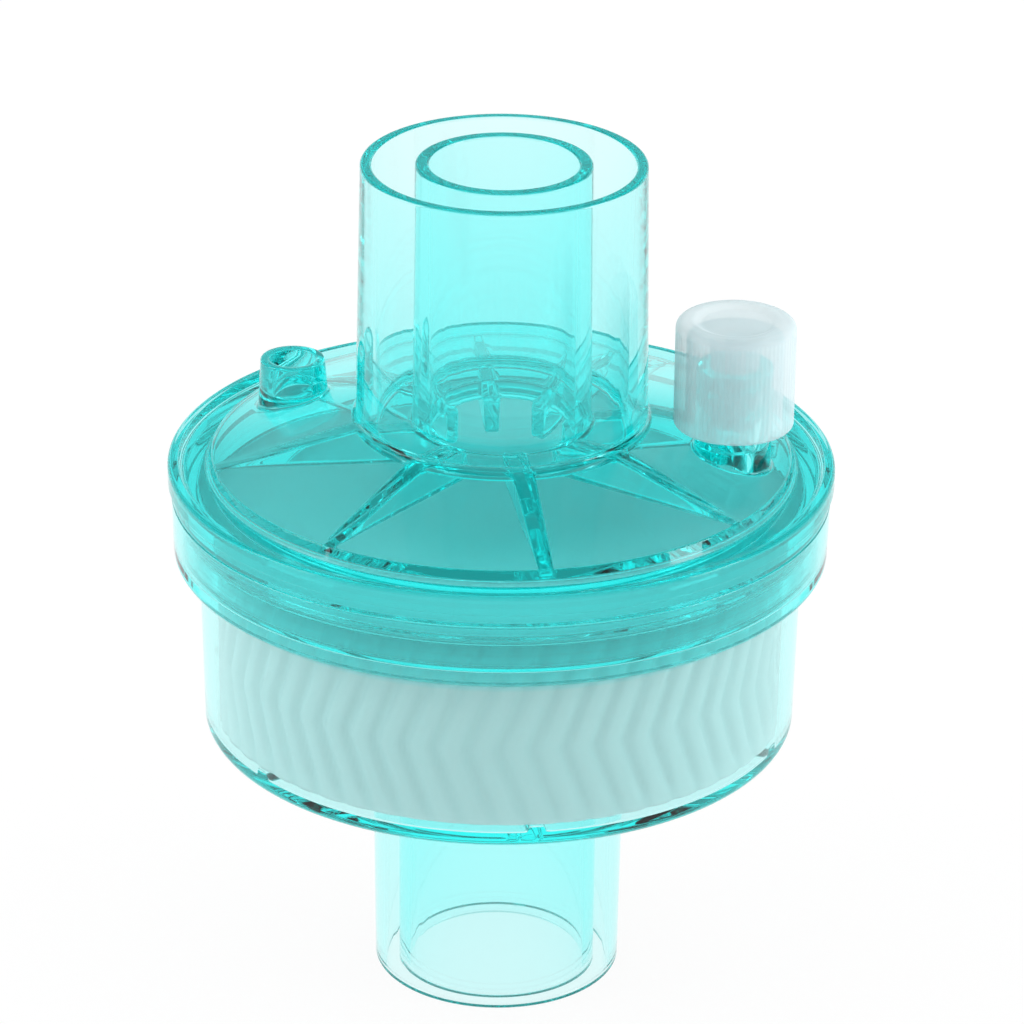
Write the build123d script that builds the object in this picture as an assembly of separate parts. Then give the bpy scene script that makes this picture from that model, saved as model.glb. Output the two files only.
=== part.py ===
from build123d import *
import os
from math import cos, degrees, hypot, radians, sin, tan

# A breathing circuit filter: two clear moulded housing halves welded at a deep rim, a filter
# membrane clamped between them, a fluted paper roll below it, and a sampling port with its cap.
# Millimetres. Z is the axis of both ports, and z = 0 is the open end of the lower port.

# Conical connectors, 22 mm and 15 mm, with the standard taper of 1 in 40 on the diameter
CONE_TAPER = 1 / 40
SOCKET_22_MOUTH_D = 22.42
CONE_22_TIP_D = 21.74
SOCKET_15_MOUTH_D = 15.47
CONE_15_TIP_D = 15.04
MOUTH_BEVEL = 0.2

# Lower port: a 22 mm cone outside, a 15 mm socket inside, and an open ring between the tubes
LOWER_PORT_LENGTH = 24.0
LOWER_OUTER_WALL = 1.0
LOWER_INNER_WALL = 0.93

# Bowl that holds the paper roll
BOWL_HEIGHT = 16.2
BOWL_TOP_D = 52.4
BOWL_DRAFT = 1.24
BOWL_WALL = 1.0
FLOOR_THICKNESS = 1.1
FOOT_ROUND = 1.0
FLOOR_RIB_COUNT = 6
FLOOR_RIB_WIDTH = 1.4
FLOOR_RIB_HEIGHT = 0.6
FLOOR_RIB_FIRST_ANGLE = -82.5

# Flange of the lower half, with the groove that takes the weld tongue of the upper half
FLANGE_HEIGHT = 5.6
FLANGE_WALL = 1.2
FLANGE_DRAFT = 1.5
FLANGE_ROUND = 0.5
SHELF_THICKNESS = 1.1
GROOVE_WIDTH = 1.1
SEAT_HEIGHT = 3.3

# Filter membrane, clamped at its edge
MEMBRANE_THICKNESS = 0.45
MEMBRANE_EDGE_GAP = 0.1

# Rim of the upper half
TONGUE_SIDE_GAP = 0.1
TONGUE_END_GAP = 0.3
CLAMP_STEP = 0.2
SKIRT_HEIGHT = 1.2
LIP_OVERHANG = 0.3
LIP_HEIGHT = 1.7
LIP_WIDTH = 0.9
LIP_ROUND = 0.5
LIP_SLOPE = 0.5
TROUGH_DEPTH = 0.6

# Conical plate of the upper half, and the ribs under it
PLATE_EDGE_RISE = 0.65
PLATE_EDGE_SLOPE = 0.5
PLATE_ANGLE = 15.1
PLATE_THICKNESS = 1.2
PLATE_INNER_BEVEL = 0.6
RIB_COUNT = 8
RIB_FIRST_ANGLE = -81.0
RIB_HUB_REACH = 0.55
RIB_HUB_WIDTH = 1.6
RIB_END_WIDTH = 1.1
RIB_EDGE_DROP = 0.4

# Upper port: a 22 mm socket in the outer tube and a 15 mm cone on the inner one, flush at the top
UPPER_PORT_LENGTH = 22.9
UPPER_OUTER_WALL = 0.97
UPPER_OUTER_DRAFT = 1.05
UPPER_INNER_WALL = 1.17
WELL_DROP = 0.3
TUBE_FOOT_FILLET = 0.5

# Post that parks the cap while a sample is taken
POST_INSET = 5.2
POST_ANGLE = 157.5
POST_HEIGHT = 3.7
POST_TIP_D = 5.66
POST_DRAFT = 3.0
POST_WALL = 0.8
POST_FILLET = 0.35

# Sampling port, a female cone with the taper of 6 in 100
LUER_TAPER = 0.06
LUER_INSET = 4.85
LUER_ANGLE = -11.5
LUER_HEIGHT = 8.4
LUER_BODY_D = 6.6
LUER_MOUTH_D = 4.27
LUER_SOCKET_DEPTH = 7.4
LUER_HOLE_D = 2.5
LUER_FILLET = 0.35

# Cap of the sampling port
CAP_D = 10.26
CAP_HEIGHT = 9.55
CAP_FOOT_GAP = 2.95
CAP_WALL = 0.98
CAP_ROOF = 1.4
CAP_ROUND = 0.8
CAP_RIM_WIDTH = 1.6
CAP_DIMPLE_DEPTH = 0.35
PLUG_TIP_GAP = 2.2
PLUG_SIDE_GAP = 0.05
PLUG_HOLE_D = 1.8
GRIP_COUNT = 72
GRIP_DEPTH = 0.13
GRIP_END_GAP = 0.2

# Paper roll: a corrugated strip wound on itself, its flutes folded to a chevron
ROLL_SIDE_GAP = 0.25
ROLL_TOP_GAP = 0.3
ROLL_APEX_HEIGHT = 7.0
FLUTE_COUNT = 58
FLUTE_DEPTH = 0.5
FLUTE_LEAN = 20.0
TURN_PITCH = 2.6
TURN_GROOVE_WIDTH = 0.9
TURN_GROOVE_DEPTH = 0.35
FIRST_TURN_D = 5.0

# Heights that follow from the lengths above
FLOOR_Z = LOWER_PORT_LENGTH
FLOOR_TOP_Z = FLOOR_Z + FLOOR_THICKNESS
FLANGE_Z = FLOOR_Z + BOWL_HEIGHT
GROOVE_Z = FLANGE_Z + SHELF_THICKNESS
SEAT_Z = FLANGE_Z + SEAT_HEIGHT
CLAMP_Z = SEAT_Z + MEMBRANE_THICKNESS
PARTING_Z = FLANGE_Z + FLANGE_HEIGHT
LIP_FOOT_Z = PARTING_Z + SKIRT_HEIGHT
LIP_Z = LIP_FOOT_Z + LIP_HEIGHT
TROUGH_Z = LIP_Z - TROUGH_DEPTH
RIB_EDGE_Z = LIP_Z - RIB_EDGE_DROP

# Radii that follow from them
BOWL_TOP_R = BOWL_TOP_D / 2
BOWL_FOOT_R = BOWL_TOP_R - BOWL_HEIGHT * tan(radians(BOWL_DRAFT))
GROOVE_OUTER_R = BOWL_TOP_R + GROOVE_WIDTH
FLANGE_R = GROOVE_OUTER_R + FLANGE_WALL
CLAMP_R = BOWL_TOP_R - BOWL_WALL - CLAMP_STEP
SOCKET_22_R = SOCKET_22_MOUTH_D / 2
UPPER_TIP_R = SOCKET_22_R + UPPER_OUTER_WALL
UPPER_FOOT_R = UPPER_TIP_R + UPPER_PORT_LENGTH * tan(radians(UPPER_OUTER_DRAFT))
CONE_15_R = CONE_15_TIP_D / 2
UPPER_BORE_R = CONE_15_R - UPPER_INNER_WALL
LUER_OUT = CLAMP_R - LUER_INSET
POST_OUT = CLAMP_R - POST_INSET
POST_FOOT_R = POST_TIP_D / 2 + POST_HEIGHT * tan(radians(POST_DRAFT))


def plate_top(radius):
    """Height of the conical plate's upper face at one radius."""
    return LIP_Z + PLATE_EDGE_RISE + (CLAMP_R - radius) * tan(radians(PLATE_ANGLE))


PLATE_Z = plate_top(UPPER_FOOT_R)
MOUTH_Z = PLATE_Z + UPPER_PORT_LENGTH
WELL_Z = PLATE_Z - WELL_DROP
WELL_UNDER_Z = WELL_Z - PLATE_THICKNESS
LUER_BASE_Z = plate_top(LUER_OUT)
LUER_MOUTH_Z = LUER_BASE_Z + LUER_HEIGHT


def turned(*corners):
    """Solid turned about Z from corners (radius, height). A third number rounds a corner, and
    "bevel" with a size cuts it straight."""
    points = []
    rounds = []
    for i, (radius, z, *edge) in enumerate(corners):
        here = Vector(radius, 0, z)
        if edge and edge[0] == "bevel":
            for beside in (corners[i - 1], corners[(i + 1) % len(corners)]):
                along = (Vector(beside[0], 0, beside[1]) - here).normalized()
                points.append(here + along * edge[1])
                rounds.append(0)
        else:
            points.append(here)
            rounds.append(edge[0] if edge else 0)
    outline = FilletPolyline(*points, radius=rounds, close=True)
    return revolve(make_face(outline), Axis.Z)


def spaced(piece, count, first_angle):
    """Copies of a piece at even angles about Z."""
    return [Rot(0, 0, first_angle + 360 * i / count) * piece for i in range(count)]


def off_axis(radius, angle):
    """Place of an upright axis at one radius and angle from the ports' axis."""
    return Pos(radius * cos(radians(angle)), radius * sin(radians(angle)), 0)


def above_plate():
    """Space above the middle of the conical plate, which trims a post's foot to the slope."""
    sunk = PLATE_THICKNESS / 2
    return turned(
        (0, plate_top(0) - sunk),
        (CLAMP_R, plate_top(CLAMP_R) - sunk),
        (CLAMP_R, MOUTH_Z),
        (0, MOUTH_Z),
    )


def foot_edges(housing, radius_out, angle, foot_r):
    """Edges where a post meets the conical plate's upper face."""
    axis_x = radius_out * cos(radians(angle))
    axis_y = radius_out * sin(radians(angle))
    found = []
    for edge in housing.edges():
        points = [edge @ t for t in (0.1, 0.35, 0.6, 0.85)]
        near = [abs(hypot(p.X - axis_x, p.Y - axis_y) - foot_r) < foot_r / 5 for p in points]
        on_plate = [abs(p.Z - plate_top(hypot(p.X, p.Y))) < PLATE_THICKNESS / 8 for p in points]
        if all(near) and all(on_plate):
            found.append(edge)
    return found


def lower_housing():
    """Lower half: double-walled port, bowl with floor ribs, and grooved flange."""
    cone_tip_r = CONE_22_TIP_D / 2
    cone_foot_r = cone_tip_r + FLOOR_Z * CONE_TAPER / 2
    ring_outer_r = cone_tip_r - LOWER_OUTER_WALL
    socket_r = SOCKET_15_MOUTH_D / 2
    socket_end_r = socket_r - FLOOR_TOP_Z * CONE_TAPER / 2
    ring_inner_r = socket_r + LOWER_INNER_WALL
    wall_foot_r = BOWL_FOOT_R - BOWL_WALL
    flange_foot_r = FLANGE_R - FLANGE_HEIGHT * tan(radians(FLANGE_DRAFT))
    body = turned(
        (cone_tip_r, 0, "bevel", MOUTH_BEVEL),
        (cone_foot_r, FLOOR_Z),
        (BOWL_FOOT_R, FLOOR_Z, FOOT_ROUND),
        (BOWL_TOP_R, FLANGE_Z),
        (flange_foot_r, FLANGE_Z, FLANGE_ROUND),
        (FLANGE_R, PARTING_Z),
        (GROOVE_OUTER_R, PARTING_Z),
        (GROOVE_OUTER_R, GROOVE_Z),
        (BOWL_TOP_R, GROOVE_Z),
        (BOWL_TOP_R, SEAT_Z),
        (BOWL_TOP_R - BOWL_WALL, SEAT_Z),
        (wall_foot_r, FLOOR_TOP_Z),
        (socket_end_r, FLOOR_TOP_Z),
        (socket_r, 0, "bevel", MOUTH_BEVEL),
        (ring_inner_r, 0, "bevel", MOUTH_BEVEL),
        (ring_inner_r, FLOOR_Z),
        (ring_outer_r, FLOOR_Z),
        (ring_outer_r, 0, "bevel", MOUTH_BEVEL),
    )
    rib_start = ring_outer_r
    rib_length = wall_foot_r + BOWL_WALL / 2 - rib_start
    rib_height = FLOOR_RIB_HEIGHT + FLOOR_THICKNESS / 2
    rib_middle_z = FLOOR_TOP_Z + FLOOR_RIB_HEIGHT - rib_height / 2
    rib = Pos(rib_start + rib_length / 2, 0, rib_middle_z) * Box(rib_length, FLOOR_RIB_WIDTH, rib_height)
    return body + spaced(rib, FLOOR_RIB_COUNT, FLOOR_RIB_FIRST_ANGLE)


def plate_ribs():
    """Tapering ribs under the conical plate, with level free edges."""
    hub_r = UPPER_BORE_R - RIB_HUB_REACH
    end_r = CLAMP_R + PLATE_EDGE_SLOPE / 2
    plan = Polyline(
        (hub_r, -RIB_HUB_WIDTH / 2),
        (end_r, -RIB_END_WIDTH / 2),
        (end_r, RIB_END_WIDTH / 2),
        (hub_r, RIB_HUB_WIDTH / 2),
        close=True,
    )
    blade = Pos(0, 0, RIB_EDGE_Z) * extrude(make_face(plan), PLATE_Z - RIB_EDGE_Z)
    sunk = PLATE_THICKNESS / 3
    space = turned(
        (0, RIB_EDGE_Z),
        (end_r, RIB_EDGE_Z),
        (end_r, plate_top(end_r) - PLATE_THICKNESS + sunk),
        (UPPER_FOOT_R, PLATE_Z - PLATE_THICKNESS + sunk),
        (UPPER_FOOT_R, WELL_UNDER_Z + sunk),
        (UPPER_BORE_R + sunk, WELL_UNDER_Z + sunk),
        (UPPER_BORE_R + sunk, WELL_UNDER_Z),
        (0, WELL_UNDER_Z),
    )
    return spaced(blade & space, RIB_COUNT, RIB_FIRST_ANGLE)


def luer_port():
    """Outside of the sampling port, about its own axis."""
    body_r = LUER_BODY_D / 2
    foot_z = plate_top(LUER_OUT + body_r) - PLATE_THICKNESS
    return turned(
        (0, foot_z),
        (body_r, foot_z),
        (body_r, LUER_MOUTH_Z, "bevel", MOUTH_BEVEL),
        (0, LUER_MOUTH_Z),
    )


def luer_bore():
    """Female cone of the sampling port and the hole from it into the filter."""
    mouth_r = LUER_MOUTH_D / 2
    step_z = LUER_MOUTH_Z - LUER_SOCKET_DEPTH
    step_r = mouth_r - LUER_SOCKET_DEPTH * LUER_TAPER / 2
    hole_z = RIB_EDGE_Z - PLATE_THICKNESS
    above_z = LUER_MOUTH_Z + MOUTH_BEVEL
    return turned(
        (0, hole_z),
        (LUER_HOLE_D / 2, hole_z),
        (LUER_HOLE_D / 2, step_z),
        (step_r, step_z),
        (mouth_r, LUER_MOUTH_Z),
        (mouth_r, above_z),
        (0, above_z),
    )


def cap_post():
    """Blind open-topped post, about its own axis."""
    tip_z = plate_top(POST_OUT) + POST_HEIGHT
    foot_z = plate_top(POST_OUT + POST_FOOT_R) - PLATE_THICKNESS
    foot_r = POST_TIP_D / 2 + (tip_z - foot_z) * tan(radians(POST_DRAFT))
    bore_r = POST_TIP_D / 2 - POST_WALL
    bore_z = plate_top(POST_OUT - bore_r)
    return turned(
        (0, foot_z),
        (foot_r, foot_z),
        (POST_TIP_D / 2, tip_z, "bevel", MOUTH_BEVEL),
        (bore_r, tip_z, "bevel", MOUTH_BEVEL),
        (bore_r, bore_z),
        (0, bore_z),
    )


def upper_housing():
    """Upper half: two flush tubes, ribbed conical plate, trough, lip, tongue and both posts."""
    socket_foot_r = SOCKET_22_R - (MOUTH_Z - WELL_Z) * CONE_TAPER / 2
    cone_foot_r = CONE_15_R + (MOUTH_Z - WELL_Z) * CONE_TAPER / 2
    tongue_outer_r = GROOVE_OUTER_R - TONGUE_SIDE_GAP
    tongue_inner_r = BOWL_TOP_R + TONGUE_SIDE_GAP
    tongue_z = GROOVE_Z + TONGUE_END_GAP
    lip_r = FLANGE_R + LIP_OVERHANG
    lip_inner_r = lip_r - LIP_WIDTH
    body = turned(
        (UPPER_BORE_R, WELL_UNDER_Z),
        (UPPER_BORE_R, MOUTH_Z, "bevel", MOUTH_BEVEL),
        (CONE_15_R, MOUTH_Z, "bevel", MOUTH_BEVEL),
        (cone_foot_r, WELL_Z),
        (socket_foot_r, WELL_Z),
        (SOCKET_22_R, MOUTH_Z, "bevel", MOUTH_BEVEL),
        (UPPER_TIP_R, MOUTH_Z, "bevel", MOUTH_BEVEL),
        (UPPER_FOOT_R, PLATE_Z, TUBE_FOOT_FILLET),
        (CLAMP_R, plate_top(CLAMP_R)),
        (CLAMP_R + PLATE_EDGE_SLOPE, TROUGH_Z),
        (lip_inner_r - LIP_SLOPE, TROUGH_Z),
        (lip_inner_r, LIP_Z),
        (lip_r, LIP_Z, LIP_ROUND),
        (lip_r, LIP_FOOT_Z),
        (FLANGE_R, LIP_FOOT_Z),
        (FLANGE_R, PARTING_Z),
        (tongue_outer_r, PARTING_Z),
        (tongue_outer_r, tongue_z),
        (tongue_inner_r, tongue_z),
        (tongue_inner_r, CLAMP_Z),
        (CLAMP_R, CLAMP_Z),
        (CLAMP_R, plate_top(CLAMP_R) - PLATE_THICKNESS, "bevel", PLATE_INNER_BEVEL),
        (UPPER_FOOT_R, PLATE_Z - PLATE_THICKNESS),
        (UPPER_FOOT_R - WELL_DROP, WELL_UNDER_Z),
    )
    body = body + plate_ribs()
    body = body + (off_axis(LUER_OUT, LUER_ANGLE) * luer_port() & above_plate())
    body = fillet(foot_edges(body, LUER_OUT, LUER_ANGLE, LUER_BODY_D / 2), LUER_FILLET)
    body = body + (off_axis(POST_OUT, POST_ANGLE) * cap_post() & above_plate())
    body = fillet(foot_edges(body, POST_OUT, POST_ANGLE, POST_FOOT_R), POST_FILLET)
    return body - off_axis(LUER_OUT, LUER_ANGLE) * luer_bore()


def cap_grip(valley_r, bore_r, height):
    """Ring of upright ridges round the cap, rooted in the middle of its wall."""
    step = 360 / GRIP_COUNT
    root_r = valley_r - GRIP_DEPTH / 6
    ridges = []
    for i in range(GRIP_COUNT):
        crest = radians(i * step)
        valley = radians((i + 0.5) * step)
        ridges.append((CAP_D / 2 * cos(crest), CAP_D / 2 * sin(crest)))
        ridges.append((root_r * cos(valley), root_r * sin(valley)))
    ring = make_face(Polyline(*ridges, close=True)) - Circle((valley_r + bore_r) / 2)
    return extrude(ring, height)


def luer_cap():
    """Screw cap with a ribbed grip, a shallow dimple on top and the plug that seals the port."""
    foot_z = LUER_BASE_Z + CAP_FOOT_GAP
    top_z = foot_z + CAP_HEIGHT
    roof_z = top_z - CAP_ROOF
    valley_r = CAP_D / 2 - GRIP_DEPTH
    bore_r = CAP_D / 2 - CAP_WALL
    dimple_r = CAP_D / 2 - CAP_RIM_WIDTH
    dimple_z = top_z - CAP_DIMPLE_DEPTH
    plug_reach = LUER_SOCKET_DEPTH - PLUG_TIP_GAP
    plug_mouth_r = LUER_MOUTH_D / 2 - PLUG_SIDE_GAP
    plug_tip_r = plug_mouth_r - plug_reach * LUER_TAPER / 2
    plug_root_r = plug_mouth_r + (roof_z - LUER_MOUTH_Z) * LUER_TAPER / 2
    body = turned(
        (0, dimple_z),
        (dimple_r - CAP_DIMPLE_DEPTH, dimple_z),
        (dimple_r, top_z),
        (valley_r, top_z, CAP_ROUND),
        (valley_r, foot_z, "bevel", MOUTH_BEVEL),
        (bore_r, foot_z, "bevel", MOUTH_BEVEL),
        (bore_r, roof_z),
        (plug_root_r, roof_z),
        (plug_tip_r, LUER_MOUTH_Z - plug_reach),
        (PLUG_HOLE_D / 2, LUER_MOUTH_Z - plug_reach),
        (PLUG_HOLE_D / 2, roof_z),
        (0, roof_z),
    )
    grip_foot_z = foot_z + MOUTH_BEVEL + GRIP_END_GAP
    grip_top_z = top_z - CAP_ROUND - GRIP_END_GAP
    grip = Pos(0, 0, grip_foot_z) * cap_grip(valley_r, bore_r, grip_top_z - grip_foot_z)
    return off_axis(LUER_OUT, LUER_ANGLE) * (body + grip)


def filter_membrane():
    """Flat filter disc, held at its edge between the seat and the clamp ring."""
    disc_r = BOWL_TOP_R - MEMBRANE_EDGE_GAP
    return turned((0, SEAT_Z), (disc_r, SEAT_Z), (disc_r, CLAMP_Z), (0, CLAMP_Z))


def fluted_half(section, height, outer_r):
    """Half of the roll above its apex ring, its flutes leaning by FLUTE_LEAN as they rise."""
    lean = degrees(height * tan(radians(FLUTE_LEAN)) / outer_r)
    return Solid.extrude_linear_with_rotation(section, (0, 0, 0), (0, 0, height), lean)


def hme_paper_roll():
    """Fluted paper roll: chevron flutes round its side and its turns on both end faces."""
    foot_z = FLOOR_TOP_Z + FLOOR_RIB_HEIGHT
    top_z = SEAT_Z - ROLL_TOP_GAP
    outer_r = BOWL_FOOT_R - BOWL_WALL - ROLL_SIDE_GAP
    inner_r = outer_r - FLUTE_DEPTH
    step = 360 / FLUTE_COUNT
    rim = []
    for i in range(FLUTE_COUNT):
        crest = radians(i * step)
        valley = radians((i + 0.5) * step)
        rim.append((outer_r * cos(crest), outer_r * sin(crest)))
        rim.append((inner_r * cos(valley), inner_r * sin(valley)))
    section = make_face(Polyline(*rim, close=True)).face()
    upper = fluted_half(section, top_z - foot_z - ROLL_APEX_HEIGHT, outer_r)
    lower = mirror(fluted_half(section, ROLL_APEX_HEIGHT, outer_r), about=Plane.XY)
    roll = Pos(0, 0, foot_z + ROLL_APEX_HEIGHT) * (upper + lower)
    half_width = TURN_GROOVE_WIDTH / 2
    turn_r = FIRST_TURN_D / 2
    while turn_r < inner_r - TURN_PITCH:
        for face_z, inward in ((foot_z, 1), (top_z, -1)):
            groove = turned(
                (turn_r - half_width, face_z),
                (turn_r, face_z + inward * TURN_GROOVE_DEPTH),
                (turn_r + half_width, face_z),
            )
            roll = roll - groove
        turn_r += TURN_PITCH
    return roll


os.makedirs("parts", exist_ok=True)
for make in (upper_housing, lower_housing, filter_membrane, hme_paper_roll, luer_cap):
    export_step(make(), f"parts/{make.__name__}.step")
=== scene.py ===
import bpy
import numpy as np
from mathutils import Matrix


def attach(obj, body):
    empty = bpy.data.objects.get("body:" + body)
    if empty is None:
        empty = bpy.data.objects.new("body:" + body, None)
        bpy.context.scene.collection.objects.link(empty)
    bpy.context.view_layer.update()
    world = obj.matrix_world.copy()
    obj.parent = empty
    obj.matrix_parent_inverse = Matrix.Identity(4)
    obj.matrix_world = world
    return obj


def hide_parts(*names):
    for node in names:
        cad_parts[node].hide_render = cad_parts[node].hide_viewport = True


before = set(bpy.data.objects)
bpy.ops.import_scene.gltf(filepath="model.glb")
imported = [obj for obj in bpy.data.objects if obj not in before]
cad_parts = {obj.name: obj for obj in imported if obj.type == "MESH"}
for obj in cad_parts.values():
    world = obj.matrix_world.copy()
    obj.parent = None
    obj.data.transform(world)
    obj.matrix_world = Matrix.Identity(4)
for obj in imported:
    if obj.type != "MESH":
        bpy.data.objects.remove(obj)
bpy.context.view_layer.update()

# The room: a pale floor under a white sky whose light is much stronger at both sides. The camera
# sees both as white, and the floor keeps a faint shadow. Gloss and clear parts see the same white
# low down, and a dim ceiling higher up, which draws the dark edges of clear plastic. The sky isn't
# sampled as a lamp, because the plastic stops nearly all such rays to the paper.
MM = 0.001
FLOOR_HALF = 2.0
FLOOR_DROP = 0.02 * MM
FLOOR_SHARE_SEEN_WHITE = 0.93
SKY_LIGHT, SKY_SIDE_GAIN = 0.8, 1.2
CEILING_SEEN, CEILING_FROM, CEILING_TO = 0.36, 0.02, 0.4


def seen_white(nodes, links):
    """1 for rays from the camera, a gloss or a clear part, and 0 for the rays that light things,
    also where they come off the paper and out through a clear part."""
    path = nodes.new("ShaderNodeLightPath")
    total = None
    for ray in ("Is Camera Ray", "Is Glossy Ray", "Is Transmission Ray"):
        if total is None:
            total = path.outputs[ray]
            continue
        either = nodes.new("ShaderNodeMath")
        either.operation = "MAXIMUM"
        links.new(total, either.inputs[0])
        links.new(path.outputs[ray], either.inputs[1])
        total = either.outputs[0]
    straight = nodes.new("ShaderNodeMath")
    straight.operation = "SUBTRACT"
    straight.use_clamp = True
    links.new(total, straight.inputs[0])
    links.new(path.outputs["Diffuse Depth"], straight.inputs[1])
    return straight.outputs[0], path.outputs["Is Camera Ray"]


floor_mesh = bpy.data.meshes.new("floor")
floor_signs = ((-1, -1), (1, -1), (1, 1), (-1, 1))
floor_corners = [(x * FLOOR_HALF, y * FLOOR_HALF, -FLOOR_DROP) for x, y in floor_signs]
floor_mesh.from_pydata(floor_corners, [], [(0, 1, 2, 3)])
floor = bpy.data.objects.new("floor", floor_mesh)
bpy.context.collection.objects.link(floor)

floor_paint = bpy.data.materials.new("floor_paint")
floor_paint.use_nodes = True
nodes, links = floor_paint.node_tree.nodes, floor_paint.node_tree.links
matt_white = nodes["Principled BSDF"]
matt_white.inputs["Base Color"].default_value = (0.94, 0.94, 0.94, 1)
matt_white.inputs["Roughness"].default_value = 0.9
matt_white.inputs["Specular IOR Level"].default_value = 0.0
plain_white = nodes.new("ShaderNodeEmission")
share = nodes.new("ShaderNodeMath")
share.operation = "MULTIPLY"
share.inputs[1].default_value = FLOOR_SHARE_SEEN_WHITE
links.new(seen_white(nodes, links)[0], share.inputs[0])
floor_mix = nodes.new("ShaderNodeMixShader")
links.new(share.outputs[0], floor_mix.inputs["Fac"])
links.new(matt_white.outputs[0], floor_mix.inputs[1])
links.new(plain_white.outputs[0], floor_mix.inputs[2])
links.new(floor_mix.outputs[0], nodes["Material Output"].inputs["Surface"])
floor_mesh.materials.append(floor_paint)

sky = bpy.data.worlds.new("sky")
bpy.context.scene.world = sky
sky.use_nodes = True
nodes, links = sky.node_tree.nodes, sky.node_tree.links
seen, by_camera = seen_white(nodes, links)
towards = nodes.new("ShaderNodeTexCoord")
parts = nodes.new("ShaderNodeSeparateXYZ")
links.new(towards.outputs["Generated"], parts.inputs[0])
sideways = nodes.new("ShaderNodeMath")
sideways.operation = "MULTIPLY"
links.new(parts.outputs["X"], sideways.inputs[0])
links.new(parts.outputs["X"], sideways.inputs[1])
sky_light = nodes.new("ShaderNodeMapRange")
sky_light.inputs["To Min"].default_value = SKY_LIGHT
sky_light.inputs["To Max"].default_value = SKY_LIGHT + SKY_SIDE_GAIN
links.new(sideways.outputs[0], sky_light.inputs["Value"])
ceiling = nodes.new("ShaderNodeMapRange")
ceiling.interpolation_type = "SMOOTHSTEP"
ceiling.inputs["From Min"].default_value = CEILING_FROM
ceiling.inputs["From Max"].default_value = CEILING_TO
ceiling.inputs["To Min"].default_value = 1.0
ceiling.inputs["To Max"].default_value = CEILING_SEEN
links.new(parts.outputs["Z"], ceiling.inputs["Value"])
sky_level = nodes.new("ShaderNodeMapRange")
links.new(seen, sky_level.inputs["Value"])
links.new(sky_light.outputs["Result"], sky_level.inputs["To Min"])
links.new(ceiling.outputs["Result"], sky_level.inputs["To Max"])
background = nodes.new("ShaderNodeMath")
background.operation = "MAXIMUM"
links.new(sky_level.outputs["Result"], background.inputs[0])
links.new(by_camera, background.inputs[1])
nodes["Background"].inputs["Color"].default_value = (1, 1, 1, 1)
links.new(background.outputs[0], nodes["Background"].inputs["Strength"])
sky.cycles.sampling_method = "NONE"


def soft_lamp(name, place, size, watts):
    """Square area lamp at a place in metres, turned towards the middle of the filter."""
    lamp = bpy.data.lights.new(name, "AREA")
    lamp.size = size
    lamp.energy = watts
    holder = bpy.data.objects.new(name, lamp)
    bpy.context.collection.objects.link(holder)
    middle = np.array((0, 0, 38 * MM))
    back = np.array(place) - middle
    back = back / np.linalg.norm(back)
    side = np.cross((0, 0, 1), back)
    side = side / np.linalg.norm(side)
    turn = np.eye(4)
    turn[:3, 0], turn[:3, 1], turn[:3, 2], turn[:3, 3] = side, np.cross(back, side), back, place
    holder.matrix_world = Matrix(turn.tolist())


soft_lamp("lamp_left", (-0.62, -0.12, 0.34), 0.34, 0.9)
soft_lamp("lamp_right", (0.62, -0.16, 0.26), 0.24, 0.9)

# The camera stands in front and looks down at the filter through a long lens. Clear walls behind
# clear walls need long light paths, so the bounce limits are high.
CAMERA_PLACE = (0, -0.403, 0.22633)
CAMERA_LENS = 179.3
CAMERA_PITCH, CAMERA_YAW, CAMERA_ROLL = np.radians((24.428, -0.1375, 0.631))

level_side = np.array((np.cos(CAMERA_YAW), np.sin(CAMERA_YAW), 0))
level_ahead = np.array((-np.sin(CAMERA_YAW), np.cos(CAMERA_YAW), 0))
ahead = level_ahead * np.cos(CAMERA_PITCH) - np.array((0, 0, np.sin(CAMERA_PITCH)))
upward = level_ahead * np.sin(CAMERA_PITCH) + np.array((0, 0, np.cos(CAMERA_PITCH)))
camera_turn = np.eye(4)
camera_turn[:3, 0] = np.cos(CAMERA_ROLL) * level_side + np.sin(CAMERA_ROLL) * upward
camera_turn[:3, 1] = -np.sin(CAMERA_ROLL) * level_side + np.cos(CAMERA_ROLL) * upward
camera_turn[:3, 2] = -ahead
camera_turn[:3, 3] = CAMERA_PLACE
camera_data = bpy.data.cameras.new("camera")
camera_data.lens = CAMERA_LENS
camera = bpy.data.objects.new("camera", camera_data)
bpy.context.collection.objects.link(camera)
camera.matrix_world = Matrix(camera_turn.tolist())
bpy.context.scene.camera = camera
bpy.context.scene.view_settings.view_transform = "Standard"
bpy.context.scene.cycles.max_bounces = 32
bpy.context.scene.cycles.transmission_bounces = 32
bpy.context.scene.cycles.glossy_bounces = 32
bpy.context.scene.cycles.diffuse_bounces = 2
bpy.context.scene.cycles.transparent_max_bounces = 24
bpy.context.scene.cycles.sample_clamp_indirect = 3.0

# Lower housing: one clear teal moulding. A double-walled port carries the bowl, whose floor has
# six low ribs under the paper roll, and the bowl's rim has the groove for the weld tongue.
CORNER_ROUND = 0.1
ARC_STEPS = 5
EDGE_BAND = 0.05
CONE_SLOPE = 1 / 80

PORT_TIP_R, PORT_RING_OUTER_R, PORT_RING_INNER_R, PORT_SOCKET_R = 10.87, 9.87, 8.665, 7.735
FLOOR_Z, FLOOR_TOP_Z = 24.0, 25.1
BOWL_FOOT_R, BOWL_TOP_R, BOWL_WALL = 25.85, 26.2, 1.0
SHELF_Z, GROOVE_Z, SEAT_Z, PARTING_Z = 40.2, 41.3, 43.5, 45.8
GROOVE_OUTER_R, FLANGE_R, FLANGE_FOOT_R = 27.3, 28.5, 28.353
WELD_GAP = 0.03


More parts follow.
